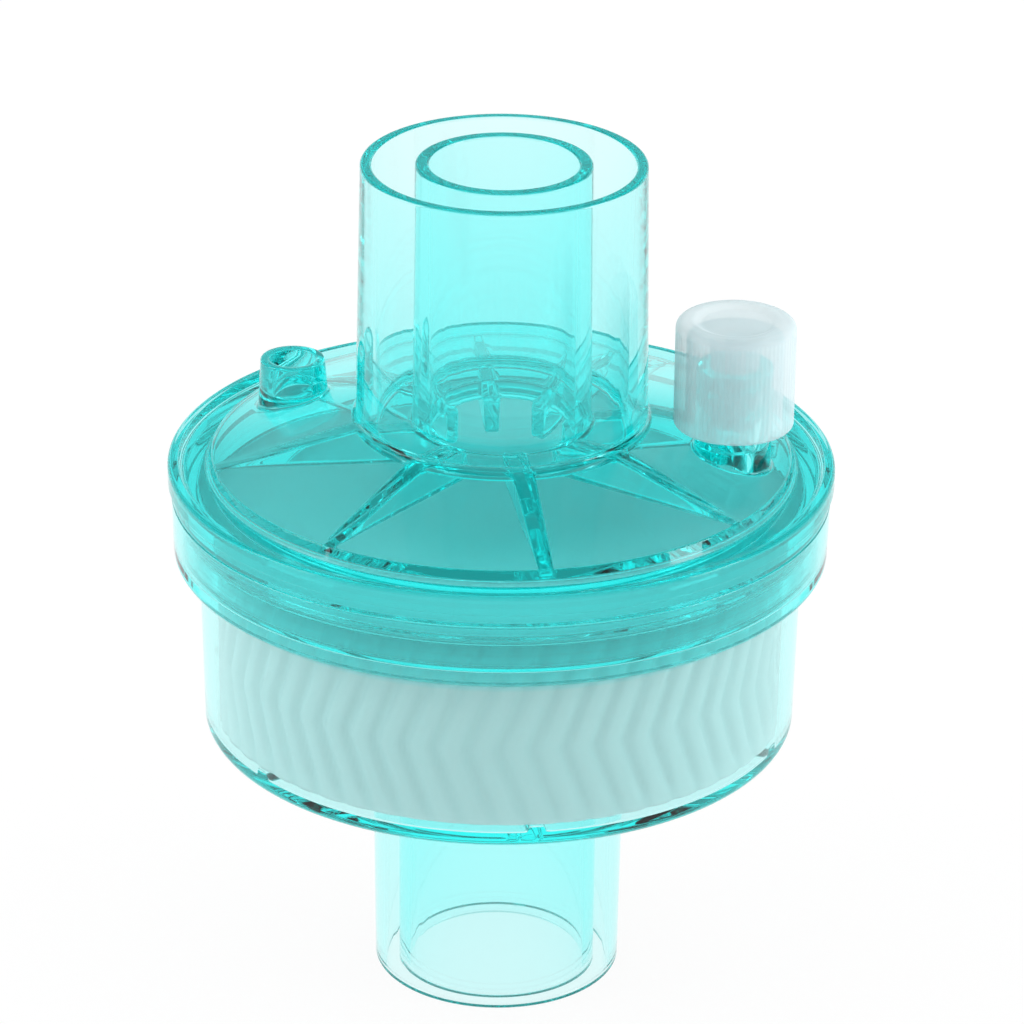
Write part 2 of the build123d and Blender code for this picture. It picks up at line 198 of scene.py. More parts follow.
def rounded_section(corners):
    """Closed line in the plane of radius and height. Each corner is (radius, height, round, steps,
    arc steps): an arc that touches both sides, then a straight side cut into that many steps.
    A short band beside each arc keeps the side's shading flat."""
    full = [tuple(c) + (CORNER_ROUND, 1, ARC_STEPS)[len(c) - 2:] for c in corners]
    places = np.array([c[:2] for c in full], float)
    arcs = []
    for i, (_, _, radius, _, arc_steps) in enumerate(full):
        to_last = places[i - 1] - places[i]
        to_next = places[(i + 1) % len(full)] - places[i]
        to_last = to_last / np.linalg.norm(to_last)
        to_next = to_next / np.linalg.norm(to_next)
        inside = np.arccos(np.clip(to_last @ to_next, -1, 1))
        inward = (to_last + to_next) / np.linalg.norm(to_last + to_next)
        middle = places[i] + inward * radius / np.sin(inside / 2)
        reach = radius / np.tan(inside / 2)
        first = places[i] + to_last * reach - middle
        last = places[i] + to_next * reach - middle
        sweep = np.pi - inside
        along = np.linspace(0, 1, arc_steps + 1)[:, None]
        spoke = np.sin((1 - along) * sweep) * first + np.sin(along * sweep) * last
        arcs.append(middle + spoke / np.sin(sweep))
    line, straight_starts = [], []
    count = 0
    for i, arc in enumerate(arcs):
        start, end = arc[-1], arcs[(i + 1) % len(arcs)][0]
        length = np.linalg.norm(end - start)
        band = min(EDGE_BAND, length / 4) / length
        share = np.linspace(band, 1 - band, full[i][3] + 1)[:, None]
        count += len(arc)
        straight_starts.append(count)
        line += [arc, start + share * (end - start)]
        count += len(share)
    return np.concatenate(line), straight_starts


def ribbed_columns(radii, rib_count, first_angle, half_width, edge, plain_count):
    """Angle of every grid point and each column's share of rib. Beside a rib the columns keep a
    fixed distance d from its middle, so angle = rib angle + asin(d / radius), and between two
    ribs they are evenly spaced. edge lists (distance outside the rib's side, share of rib)."""
    outside = np.array([e[0] for e in edge])
    share = np.array([e[1] for e in edge])
    half = half_width(radii)[:, None]
    right = np.arcsin((half + outside[::-1]) / radii[:, None])
    middle = np.zeros((len(radii), 1))
    rib = np.concatenate([-right[:, ::-1], middle, right], axis=1)
    spacing = 2 * np.pi / rib_count
    gap = np.linspace(0, 1, plain_count + 2)[1:-1]
    plain = rib[:, -1:] + gap * (spacing + rib[:, :1] - rib[:, -1:])
    unit = np.concatenate([rib, plain], axis=1)
    starts = np.radians(first_angle) + spacing * np.arange(rib_count)
    angles = (unit[:, None, :] + starts[None, :, None]).reshape(len(radii), -1)
    rib_share = np.concatenate([share, [1.0], share[::-1], np.zeros(plain_count)])
    return angles, np.tile(rib_share, rib_count)


def turned_grid(plain, ribbed, angles, rib_share):
    """Points (r cos a, r sin a, z), with (r, z) blended from the plain to the ribbed section."""
    section = plain[:, None, :] + rib_share[None, :, None] * (ribbed - plain)[:, None, :]
    radius = section[..., 0]
    return np.stack([radius * np.cos(angles), radius * np.sin(angles), section[..., 1]], axis=-1)


def grid_faces(rows, columns, wrap_rows=True, holes=()):
    """Quads of a grid that closes round its columns, and round its rows too where asked. Each
    hole is (first row, last row, first column, last column) and stays open."""
    last = rows if wrap_rows else rows - 1
    i, j = np.meshgrid(np.arange(last), np.arange(columns), indexing="ij")
    kept = np.ones(i.shape, bool)
    for row_0, row_1, column_0, column_1 in holes:
        kept[row_0:row_1, np.arange(column_0, column_1) % columns] = False
    i, j = i[kept], j[kept]
    i_next, j_next = (i + 1) % rows, (j + 1) % columns
    this_row, next_row = i * columns, i_next * columns
    return np.stack([this_row + j, this_row + j_next, next_row + j_next, next_row + j], axis=1)


def add_piece(name, points, faces, material, body, node):
    """Makes the mesh in metres with its faces outwards, and stands it in for the CAD node. The
    volume, a third of the sum of corner . (edge x edge), is negative where faces point in."""
    mesh = bpy.data.meshes.new(name)
    first, second, third = points[faces[:, 0]], points[faces[:, 1]], points[faces[:, 2]]
    fourth = points[faces[:, 3]]
    volume = np.sum(first * (np.cross(second, third) + np.cross(third, fourth)))
    if volume < 0:
        faces = faces[:, ::-1]
    closed = faces[:, 2] == faces[:, 3] if volume > 0 else faces[:, 1] == faces[:, 0]
    outline = faces.tolist()
    for i in np.flatnonzero(closed):
        outline[i] = list(dict.fromkeys(outline[i]))
    mesh.from_pydata((points * MM).tolist(), [], outline)
    mesh.polygons.foreach_set("use_smooth", np.ones(len(mesh.polygons), bool))
    mesh.update()
    mesh.materials.append(material)
    piece = bpy.data.objects.new(name, mesh)
    bpy.context.collection.objects.link(piece)
    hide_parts(node)
    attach(piece, body)
    return piece


# Moulding marks that the clear plastic and the cap share: fine handling scuffs that make the
# surface a little rougher in places, and a slow waviness, which only the cap's bump uses.
def moulding_marks_group():
    """Height is a slow noise, and roughness rises from least to most where a fine noise is high."""
    group = bpy.data.node_groups.new("moulding_marks", "ShaderNodeTree")
    for name, value in (
        ("Wave Size", 60.0),
        ("Scuff Size", 900.0),
        ("Least Roughness", 0.02),
        ("Most Roughness", 0.1),
    ):
        socket = group.interface.new_socket(name, in_out="INPUT", socket_type="NodeSocketFloat")
        socket.default_value = value
    group.interface.new_socket("Height", in_out="OUTPUT", socket_type="NodeSocketFloat")
    group.interface.new_socket("Roughness", in_out="OUTPUT", socket_type="NodeSocketFloat")
    nodes, links = group.nodes, group.links
    given, made = nodes.new("NodeGroupInput"), nodes.new("NodeGroupOutput")
    where = nodes.new("ShaderNodeTexCoord")
    waves = nodes.new("ShaderNodeTexNoise")
    waves.inputs["Detail"].default_value = 0.0
    scuffs = nodes.new("ShaderNodeTexNoise")
    scuffs.inputs["Detail"].default_value = 1.0
    level = nodes.new("ShaderNodeMapRange")
    level.inputs["From Min"].default_value = 0.55
    level.inputs["From Max"].default_value = 0.8
    links.new(where.outputs["Object"], waves.inputs["Vector"])
    links.new(where.outputs["Object"], scuffs.inputs["Vector"])
    links.new(given.outputs["Wave Size"], waves.inputs["Scale"])
    links.new(given.outputs["Scuff Size"], scuffs.inputs["Scale"])
    links.new(scuffs.outputs["Fac"], level.inputs["Value"])
    links.new(given.outputs["Least Roughness"], level.inputs["To Min"])
    links.new(given.outputs["Most Roughness"], level.inputs["To Max"])
    links.new(waves.outputs["Fac"], made.inputs["Height"])
    links.new(level.outputs["Result"], made.inputs["Roughness"])
    return group


moulding_marks = moulding_marks_group()


# Painted deeper colour of the heavy sections: beyond a radius, below a height or above another one,
# all in metres, the surface is tinted a deeper teal. This tint is painted light: it stands in for
# the colour that light takes on over its long paths in these parts. The thin tubes between stay clear.
def painted_deep_teal_group():
    """White mixed with the deep colour by the largest of three clamped ramps, 0.3 mm wide, past the
    radius, below the lower height and above the upper one."""
    group = bpy.data.node_groups.new("painted_deep_teal", "ShaderNodeTree")
    for name, far in (("Beyond Radius", 1.0), ("Below", -1.0), ("Above", 1.0)):
        socket = group.interface.new_socket(name, in_out="INPUT", socket_type="NodeSocketFloat")
        socket.default_value = far
    deep = group.interface.new_socket("Deep Colour", in_out="INPUT", socket_type="NodeSocketColor")
    deep.default_value = (0.6, 0.98, 0.98, 1)
    group.interface.new_socket("Colour", in_out="OUTPUT", socket_type="NodeSocketColor")
    nodes, links = group.nodes, group.links
    given, made = nodes.new("NodeGroupInput"), nodes.new("NodeGroupOutput")
    where = nodes.new("ShaderNodeTexCoord")
    place = nodes.new("ShaderNodeSeparateXYZ")
    flat = nodes.new("ShaderNodeCombineXYZ")
    radius = nodes.new("ShaderNodeVectorMath")
    radius.operation = "LENGTH"
    links.new(where.outputs["Object"], place.inputs[0])
    links.new(place.outputs["X"], flat.inputs["X"])
    links.new(place.outputs["Y"], flat.inputs["Y"])
    links.new(flat.outputs[0], radius.inputs[0])
    height = place.outputs["Z"]
    either = None
    for more, less in (
        (radius.outputs["Value"], given.outputs["Beyond Radius"]),
        (given.outputs["Below"], height),
        (height, given.outputs["Above"]),
    ):
        step = nodes.new("ShaderNodeMath")
        step.operation = "SUBTRACT"
        sharp = nodes.new("ShaderNodeMath")
        sharp.operation = "MULTIPLY"
        sharp.use_clamp = True
        sharp.inputs[1].default_value = 1 / (0.3 * MM)
        links.new(more, step.inputs[0])
        links.new(less, step.inputs[1])
        links.new(step.outputs[0], sharp.inputs[0])
        if either is None:
            either = sharp
            continue
        most = nodes.new("ShaderNodeMath")
        most.operation = "MAXIMUM"
        links.new(either.outputs[0], most.inputs[0])
        links.new(sharp.outputs[0], most.inputs[1])
        either = most
    tinted = nodes.new("ShaderNodeMix")
    tinted.data_type = "RGBA"
    tinted.inputs["A"].default_value = (1, 1, 1, 1)
    links.new(either.outputs[0], tinted.inputs["Factor"])
    links.new(given.outputs["Deep Colour"], tinted.inputs["B"])
    links.new(tinted.outputs["Result"], made.inputs["Colour"])
    return group


painted_deep_teal = painted_deep_teal_group()


def clear_teal(name, density, tint, heavy, deep_colour):
    """Clear moulding: full transmission, coloured by what its thickness absorbs. Its heavy sections
    also have a surface tint, which was chosen to match the photograph."""
    material = bpy.data.materials.new(name)
    material.use_nodes = True
    nodes, links = material.node_tree.nodes, material.node_tree.links
    plastic = nodes["Principled BSDF"]
    section = nodes.new("ShaderNodeGroup")
    section.node_tree = painted_deep_teal
    for socket, limit in heavy.items():
        section.inputs[socket].default_value = limit * MM
    section.inputs["Deep Colour"].default_value = (*deep_colour, 1)
    # The base colour carries the painted deeper teal where the section is heavy.
    links.new(section.outputs["Colour"], plastic.inputs["Base Color"])
    plastic.distribution = "GGX"
    plastic.inputs["Transmission Weight"].default_value = 1.0
    plastic.inputs["IOR"].default_value = 1.47
    marks = nodes.new("ShaderNodeGroup")
    marks.node_tree = moulding_marks
    marks.inputs["Least Roughness"].default_value = 0.0
    marks.inputs["Most Roughness"].default_value = 0.06
    links.new(marks.outputs["Roughness"], plastic.inputs["Roughness"])
    colour = nodes.new("ShaderNodeVolumeAbsorption")
    colour.inputs["Density"].default_value = density
    colour.inputs["Color"].default_value = (*tint, 1)
    links.new(colour.outputs[0], nodes["Material Output"].inputs["Volume"])
    return material


# The lower moulding's painted deeper teal covers all above 38.8 mm.
lower_teal = clear_teal("lower_teal", 205.0, (0.0, 0.99, 0.987), {"Above": 38.8}, (0.66, 1.0, 1.0))

FLOOR_RIB_START_R, FLOOR_RIB_TOP_Z = 9.87, 25.7
FLOOR_RIB_COUNT, FLOOR_RIB_FIRST_ANGLE, FLOOR_RIB_HALF, FLOOR_PLAIN_COLUMNS = 6, -82.5, 0.7, 36
FLOOR_RIB_EDGE = ((0.35, 0.0), (0.12, 0.06), (0.03, 0.3), (-0.03, 0.7), (-0.12, 0.94), (-0.3, 1.0))

lower_plain, _ = rounded_section((
    (PORT_TIP_R, 0, 0.25),
    (PORT_TIP_R + FLOOR_Z * CONE_SLOPE, FLOOR_Z, 0.4),
    (BOWL_FOOT_R, FLOOR_Z, 1.0, 1, 10),
    (BOWL_TOP_R, SHELF_Z, 0.3),
    (FLANGE_FOOT_R, SHELF_Z, 0.5, 1, 7),
    (FLANGE_R, PARTING_Z - WELD_GAP, 0.12),
    (GROOVE_OUTER_R, PARTING_Z - WELD_GAP, 0.08),
    (GROOVE_OUTER_R, GROOVE_Z, 0.15),
    (BOWL_TOP_R, GROOVE_Z, 0.15),
    (BOWL_TOP_R, SEAT_Z - WELD_GAP, 0.1),
    (BOWL_TOP_R - BOWL_WALL, SEAT_Z - WELD_GAP, 0.1, 36),
    (BOWL_FOOT_R - BOWL_WALL, FLOOR_TOP_Z, 0.3, 30),
    (PORT_SOCKET_R - FLOOR_TOP_Z * CONE_SLOPE, FLOOR_TOP_Z, 0.2),
    (PORT_SOCKET_R, 0, 0.5),
    (PORT_RING_INNER_R, 0, 0.25),
    (PORT_RING_INNER_R, FLOOR_Z, 0.4),
    (PORT_RING_OUTER_R, FLOOR_Z, 0.4),
    (PORT_RING_OUTER_R, 0, 0.25),
))
on_floor = (lower_plain[:, 1] > FLOOR_Z + 0.5) & (lower_plain[:, 1] < FLOOR_RIB_TOP_Z)
on_floor &= (lower_plain[:, 0] > FLOOR_RIB_START_R) & (lower_plain[:, 0] < BOWL_FOOT_R - BOWL_WALL + 0.1)
lower_ribbed = lower_plain.copy()
lower_ribbed[on_floor, 1] = FLOOR_RIB_TOP_Z
lower_angles, lower_share = ribbed_columns(
    lower_plain[:, 0],
    FLOOR_RIB_COUNT,
    FLOOR_RIB_FIRST_ANGLE,
    lambda radii: FLOOR_RIB_HALF + 0 * radii,
    FLOOR_RIB_EDGE,
    FLOOR_PLAIN_COLUMNS,
)
lower_points = turned_grid(lower_plain, lower_ribbed, lower_angles, lower_share)
add_piece(
    "lower_housing_clear",
    lower_points.reshape(-1, 3),
    grid_faces(*lower_points.shape[:2]),
    lower_teal,
    "filter",
    "lower_housing",
)

# Upper housing: one clear teal moulding. Two flush tubes stand on a conical plate with eight
# ribs under it. The plate also carries the sampling port and the open post for its cap.
PLATE_SLOPE = np.tan(np.radians(15.1))
PLATE_EDGE_R, PLATE_EDGE_Z, PLATE_THICKNESS = 25.0, 49.35, 1.2


def plate_top(radius):
    """Height of the conical plate: z = edge height + (edge radius - r) tan(15.1 degrees)."""
    return PLATE_EDGE_Z + (PLATE_EDGE_R - radius) * PLATE_SLOPE


TUBE_TIP_R, TUBE_FOOT_R = 12.18, 12.6
TUBE_HEIGHT, WELL_DEPTH = 22.9, 0.3
MOUTH_Z = plate_top(TUBE_FOOT_R) + TUBE_HEIGHT
WELL_Z = plate_top(TUBE_FOOT_R) - WELL_DEPTH
WELL_UNDER_Z = WELL_Z - PLATE_THICKNESS
SOCKET_R, CONE_TIP_R, GAS_WAY_R = 11.21, 7.52, 6.35
LIP_Z, LIP_FOOT_Z, LIP_R, LIP_INNER_R, TROUGH_Z = 48.7, 47.0, 28.8, 27.9, 48.1
TONGUE_Z, CLAMP_Z = 41.6, 43.95
RIB_EDGE_Z, RIB_HUB_R, RIB_HUB_HALF, RIB_END_HALF = 48.3, 5.8, 0.8, 0.55
RIB_EDGE = (
    (0.22, 0.0), (0.12, 0.015), (0.06, 0.05), (0.03, 0.14),
    (-0.03, 0.86), (-0.07, 0.95), (-0.13, 0.99), (-0.25, 1.0),
)
PLATE_STEPS, HUB_ARC_STEPS = 22, 16
RIB_COUNT, RIB_FIRST_ANGLE, PLATE_PLAIN_COLUMNS = 8, -81, 19

# The upper moulding's painted deeper teal covers all but the two tubes.
upper_teal = clear_teal(
    "upper_teal",
    235.0,
    (0.0, 0.984, 0.982),
    {"Beyond Radius": 12.8, "Below": 53.4, "Above": 75.3},
    (0.62, 1.0, 1.0),
)

upper_plain, upper_starts = rounded_section((
    (GAS_WAY_R, MOUTH_Z, 0.25),
    (CONE_TIP_R, MOUTH_Z, 0.25),
    (CONE_TIP_R + (MOUTH_Z - WELL_Z) * CONE_SLOPE, WELL_Z, 0.4),
    (SOCKET_R - (MOUTH_Z - WELL_Z) * CONE_SLOPE, WELL_Z, 0.4),
    (SOCKET_R, MOUTH_Z, 0.25),
    (TUBE_TIP_R, MOUTH_Z, 0.25),
    (TUBE_FOOT_R, plate_top(TUBE_FOOT_R), 0.5, PLATE_STEPS),
    (PLATE_EDGE_R, plate_top(PLATE_EDGE_R), 0.25),
    (PLATE_EDGE_R + 0.5, TROUGH_Z, 0.3),
    (LIP_INNER_R - 0.5, TROUGH_Z, 0.2),
    (LIP_INNER_R, LIP_Z, 0.15),
    (LIP_R, LIP_Z, 0.4, 1, 8),
    (LIP_R, LIP_FOOT_Z, 0.12),
    (FLANGE_R, LIP_FOOT_Z, 0.1),
    (FLANGE_R, PARTING_Z + WELD_GAP, 0.12),
    (GROOVE_OUTER_R - 0.1, PARTING_Z + WELD_GAP, 0.1),
    (GROOVE_OUTER_R - 0.1, TONGUE_Z, 0.15),
    (BOWL_TOP_R + 0.1, TONGUE_Z, 0.15),
    (BOWL_TOP_R + 0.1, CLAMP_Z + WELD_GAP, 0.1),
    (PLATE_EDGE_R, CLAMP_Z + WELD_GAP, 0.15),
    (PLATE_EDGE_R, plate_top(PLATE_EDGE_R) - PLATE_THICKNESS, 0.6, PLATE_STEPS, 7),
    (TUBE_FOOT_R, plate_top(TUBE_FOOT_R) - PLATE_THICKNESS, 0.1),
    (TUBE_FOOT_R - 0.3, WELL_UNDER_Z, 0.1, 9),
    (GAS_WAY_R, WELL_UNDER_Z, 0.3, 1, HUB_ARC_STEPS),
))
under_start = upper_starts[20]
hub_start = upper_starts[23] - HUB_ARC_STEPS - 1
upper_ribbed = upper_plain.copy()
upper_ribbed[under_start:hub_start, 1] = np.minimum(upper_ribbed[under_start:hub_start, 1], RIB_EDGE_Z)
hub_path = np.array((
    (RIB_HUB_R + 0.7, RIB_EDGE_Z),
    (RIB_HUB_R + 0.2, RIB_EDGE_Z),
    (RIB_HUB_R + 0.04, RIB_EDGE_Z + 0.05),
    (RIB_HUB_R, RIB_EDGE_Z + 0.2),
    (RIB_HUB_R, WELL_UNDER_Z - 0.2),
    (RIB_HUB_R + 0.04, WELL_UNDER_Z - 0.05),
    (RIB_HUB_R + 0.2, WELL_UNDER_Z),
    (GAS_WAY_R, WELL_UNDER_Z + 0.3),
))
hub_share = np.linspace(0, len(hub_path) - 1, HUB_ARC_STEPS + 1)
for axis in (0, 1):
    upper_ribbed[hub_start:hub_start + HUB_ARC_STEPS + 1, axis] = np.interp(
        hub_share, np.arange(len(hub_path)), hub_path[:, axis]
    )


def rib_half_width(radius):
    """Half the width of a plate rib, which narrows evenly from the hub to the plate's edge."""
    share = np.clip((radius - RIB_HUB_R) / (PLATE_EDGE_R - RIB_HUB_R), 0, 1)
    return RIB_HUB_HALF + share * (RIB_END_HALF - RIB_HUB_HALF)


upper_angles, upper_share = ribbed_columns(
    upper_plain[:, 0], RIB_COUNT, RIB_FIRST_ANGLE, rib_half_width, RIB_EDGE, PLATE_PLAIN_COLUMNS
)
upper_points = turned_grid(upper_plain, upper_ribbed, upper_angles, upper_share)
rows, columns = upper_points.shape[:2]


def window(centre, half_size, first_row, last_row):
    """Rows and columns of the grid that surround a post, taken from the points' distances."""
    band = upper_points[first_row:last_row, :, :2]
    radii = np.hypot(band[:, 0, 0], band[:, 0, 1])
    out = np.hypot(*centre)
    inside = np.flatnonzero(np.abs(radii - out) < half_size)
    row_0, row_1 = first_row + inside[0] - 1, first_row + inside[-1] + 1
    middle_row = upper_points[(row_0 + row_1) // 2]
    bearing = np.arctan2(middle_row[:, 1], middle_row[:, 0]) - np.arctan2(centre[1], centre[0])
    bearing = (bearing + np.pi) % (2 * np.pi) - np.pi
    near = np.abs(bearing) < half_size / out
    order = np.argsort(np.where(near, bearing, np.inf))[:near.sum()]
    column_0 = order[0] - 1
    return row_0, row_1, column_0, column_0 + near.sum() + 1


def window_loop(row_0, row_1, column_0, column_1):
    """Point numbers round a window's edge, in order."""
    across = np.arange(column_0, column_1)
    down = np.arange(row_0, row_1)
    level, upright = np.ones(len(across), int), np.ones(len(down), int)
    i = np.concatenate([row_0 * level, down, row_1 * level, down[::-1] + 1])
    j = np.concatenate([across, column_1 * upright, across[::-1] + 1, column_0 * upright])
    return i * columns + j % columns


def bearings(loop_points, centre):
    """Unwrapped angle of each loop point about a post's axis."""
    return np.unwrap(np.arctan2(loop_points[:, 1] - centre[1], loop_points[:, 0] - centre[0]))


def stand_rings(loop_points, centre, foot_r, fillet, surface):
    """Rings from a window's edge in to a post's foot: three that shrink to the foot circle over
    the surface, then a fillet of radius f, r = foot + f (1 - sin t), z = surface + f (1 - cos t)."""
    angle = bearings(loop_points, centre)
    circle = np.stack([np.cos(angle), np.sin(angle)], axis=-1)
    rings = []
    for share in (0.4, 0.75, 1.0):
        flat = loop_points[:, :2] * (1 - share) + (centre + circle * (foot_r + abs(fillet))) * share
        rings.append(np.column_stack([flat, surface(np.hypot(flat[:, 0], flat[:, 1]))]))
    for turn in np.linspace(0, np.pi / 2, 6)[1:]:
        flat = centre + circle * (foot_r + abs(fillet) * (1 - np.sin(turn)))
        rise = fillet * (1 - np.cos(turn))
        rings.append(np.column_stack([flat, surface(np.hypot(flat[:, 0], flat[:, 1])) + rise]))
    return rings, angle


def post_rings(centre, angle, section, foot_z, thread=None):
    """Rings round a post from (share of rounding, radius, height) rows. The lowest height follows
    the plate's slope, and the slope fades out up to the first level row."""
    rings = []
    for fade, radius, height in section:
        radii = radius + (thread(angle, height) if thread else 0)
        level = foot_z * fade + height * (1 - fade)
        rings.append(np.column_stack([
            centre[0] + radii * np.cos(angle),
            centre[1] + radii * np.sin(angle),
            level * np.ones(len(angle)),
        ]))
    return rings


def ring_faces(loops):
    """Quads between consecutive loops of point numbers, all with the same number of points."""
    return np.concatenate([
        np.stack([a, np.roll(a, -1), np.roll(b, -1), b], axis=1) for a, b in zip(loops, loops[1:])
    ])


# Sampling port: a female luer cone on the plate, with two patches of a steep double thread.
PORT_OUT, PORT_ANGLE, PORT_R = 20.15, np.radians(-11.5), 3.3
PORT_MOUTH_R, PORT_DEPTH, PORT_HOLE_R = 2.135, 7.4, 1.25
PORT_LEVEL_Z, PORT_HEIGHT, PORT_WINDOW_HALF, LUER_SLOPE = 54.2, 8.4, 4.2, 0.03
POST_ROUND, POST_FILLET, TIP_BAND = 0.2, 0.35, 0.25
THREAD_PITCH, THREAD_HEIGHT, THREAD_HALF_SPAN = 5.0, 0.42, np.radians(52)
THREAD_MIDDLE, THREAD_START_Z, THREAD_TURN_SHARE = np.radians(-88), 54.6, 0.22
port_centre = PORT_OUT * np.array((np.cos(PORT_ANGLE), np.sin(PORT_ANGLE)))
port_mouth_z = plate_top(PORT_OUT) + PORT_HEIGHT


def luer_thread(angle, height):
    """Radial height of the thread: a rounded ridge where two starts of the helix pass, kept to
    two opposite sectors of the port and to its upper part."""
    phase = (height / THREAD_PITCH - angle / (2 * np.pi)) * 2 % 1
    ridge = np.clip(1 - np.abs(phase - 0.5) / THREAD_TURN_SHARE, 0, 1)
    ridge = ridge * ridge * (3 - 2 * ridge)
    about = np.abs((angle - THREAD_MIDDLE + np.pi / 2) % np.pi - np.pi / 2)
    sector = np.clip((THREAD_HALF_SPAN - about) / 0.18, 0, 1)
    upper_end = np.clip((port_mouth_z - 0.35 - height) / 0.3, 0, 1)
    lower_end = np.clip((height - THREAD_START_Z) / 0.4, 0, 1)
    return THREAD_HEIGHT * ridge * sector * (upper_end * lower_end)


plate_rows = (upper_starts[6], upper_starts[6] + PLATE_STEPS + 1)
port_window = window(port_centre, PORT_WINDOW_HALF, *plate_rows)
port_top_loop = window_loop(*port_window)
grid_points = upper_points.reshape(-1, 3)
foot_rings, port_angle = stand_rings(
    grid_points[port_top_loop], port_centre, PORT_R, POST_FILLET, plate_top
)
foot_z = foot_rings[-1][:, 2]
step_z = port_mouth_z - PORT_DEPTH
bore_foot_r = PORT_MOUTH_R - PORT_DEPTH * LUER_SLOPE
turns = np.linspace(0, np.pi / 2, 4)[1:]


def rounded_tip(outer_r, bore_r, tip_z):
    """Rows over a post's open end: a quarter round of radius f on its outer edge, with
    r = outer - f (1 - cos t) and z = tip - f (1 - sin t), the rim, and a round into the bore."""
    edge_r, bore_edge_r, edge_z = outer_r - POST_ROUND, bore_r + POST_ROUND, tip_z - POST_ROUND
    outer = [(0, edge_r + POST_ROUND * np.cos(t), edge_z + POST_ROUND * np.sin(t)) for t in turns]
    inner = [(0, bore_edge_r - POST_ROUND * np.sin(t), edge_z + POST_ROUND * np.cos(t)) for t in turns]
    return outer + [(0, bore_edge_r, tip_z)] + inner


port_section = [(1 - share, PORT_R, PORT_LEVEL_Z) for share in np.linspace(0, 1, 5)[1:]]
port_section += [(0, PORT_R, z) for z in np.linspace(PORT_LEVEL_Z, port_mouth_z - TIP_BAND, 30)[1:]]
port_section += rounded_tip(PORT_R, PORT_MOUTH_R, port_mouth_z)
port_section += [(0, bore_foot_r, step_z + 0.1), (0, bore_foot_r, step_z), (0, PORT_HOLE_R, step_z)]
port_section += [(0, PORT_HOLE_R, step_z - 0.1)]

centre_row = np.argmin(np.abs(upper_plain[under_start:hub_start, 0] - PORT_OUT)) + under_start
row_half = len(port_top_loop) // 4 // 2
column_middle = (port_window[2] + port_window[3]) // 2
row_count = 2 * row_half
column_count = len(port_top_loop) // 2 - row_count
column_first = column_middle - column_count // 2
under_window = (centre_row - row_half, centre_row + row_half, column_first, column_first + column_count)
under_loop = window_loop(*under_window)[::-1]
under_bearings = bearings(grid_points[under_loop], port_centre)
nearest = np.argmin(np.abs(np.exp(1j * under_bearings) - np.exp(1j * port_angle[0])))
port_under_loop = np.roll(under_loop, -nearest)


def plate_underside(radius):
    """Height of the plate's lower face."""
    return plate_top(radius) - PLATE_THICKNESS


# The post that parks the cap: open at the top, blind at the plate, with a slight draft.
POST_OUT, POST_ANGLE, POST_HEIGHT, POST_WINDOW_HALF = 19.8, np.radians(157.5), 3.7, 3.9
POST_TIP_R, POST_FOOT_R, POST_BORE_R, POST_FLOOR_ROUND = 2.83, 3.02, 2.03, 0.3
post_centre = POST_OUT * np.array((np.cos(POST_ANGLE), np.sin(POST_ANGLE)))
post_tip_z = plate_top(POST_OUT) + POST_HEIGHT
post_floor_z = plate_top(POST_OUT - POST_BORE_R)
post_window = window(post_centre, POST_WINDOW_HALF, *plate_rows)
post_loop = window_loop(*post_window)
post_foot_rings, post_angle = stand_rings(
    grid_points[post_loop], post_centre, POST_FOOT_R, POST_FILLET, plate_top
)
post_foot_z = post_foot_rings[-1][:, 2]
post_section = [
    (1 - share, POST_FOOT_R + (POST_TIP_R - POST_FOOT_R) * share, post_tip_z - TIP_BAND)
    for share in np.linspace(0, 1, 6)[1:]
]
post_section += rounded_tip(POST_TIP_R, POST_BORE_R, post_tip_z)
corner_r, corner_z = POST_BORE_R - POST_FLOOR_ROUND, post_floor_z + POST_FLOOR_ROUND
post_section += [(0, POST_BORE_R, corner_z)]
post_section += [
    (0, corner_r + POST_FLOOR_ROUND * np.cos(t), corner_z - POST_FLOOR_ROUND * np.sin(t)) for t in turns
]
post_section += [(0, 0.8, post_floor_z), (0, 0.02, post_floor_z)]

upper_faces = [grid_faces(rows, columns, True, (port_window, post_window, under_window))]
upper_parts = [grid_points]


def add_rings(rings, first_loop, last_loop=None):
    """Joins rings to a window's edge, and to a second window's edge where one is given. Each ring's
    points are numbered on from the points before it."""
    loops = [first_loop]
    for ring in rings:
        loops.append(np.arange(len(ring)) + sum(len(part) for part in upper_parts))
        upper_parts.append(ring)
    if last_loop is not None:
        loops.append(last_loop)
    upper_faces.append(ring_faces(loops))
    return loops[-1]


port_rings = foot_rings + post_rings(port_centre, port_angle, port_section, foot_z, luer_thread)
under_points = grid_points[port_under_loop]
under_angle = bearings(under_points, port_centre)
under_angle += 2 * np.pi * np.round((port_angle[0] - under_angle[0]) / (2 * np.pi))
circle = np.stack([np.cos(under_angle), np.sin(under_angle)], axis=-1)
flat = port_centre + circle * PORT_HOLE_R
hole_low = np.column_stack([flat, plate_underside(np.hypot(flat[:, 0], flat[:, 1])) + 0.15])
flat = port_centre + circle * (PORT_HOLE_R + 0.15)
hole_rim = np.column_stack([flat, plate_underside(np.hypot(flat[:, 0], flat[:, 1]))])
add_rings(port_rings + [hole_low, hole_rim], port_top_loop, port_under_loop)
parking_rings = post_foot_rings + post_rings(post_centre, post_angle, post_section, post_foot_z)
last_post_ring = add_rings(parking_rings, post_loop)
post_pole = np.full(len(last_post_ring), sum(len(part) for part in upper_parts))
upper_parts.append(np.array([[*post_centre, post_floor_z]]))
upper_faces.append(np.column_stack([last_post_ring, np.roll(last_post_ring, -1), post_pole, post_pole]))
add_piece(
    "upper_housing_clear",
    np.concatenate(upper_parts),
    np.concatenate(upper_faces),
    upper_teal,
    "filter",
    "upper_housing",
)

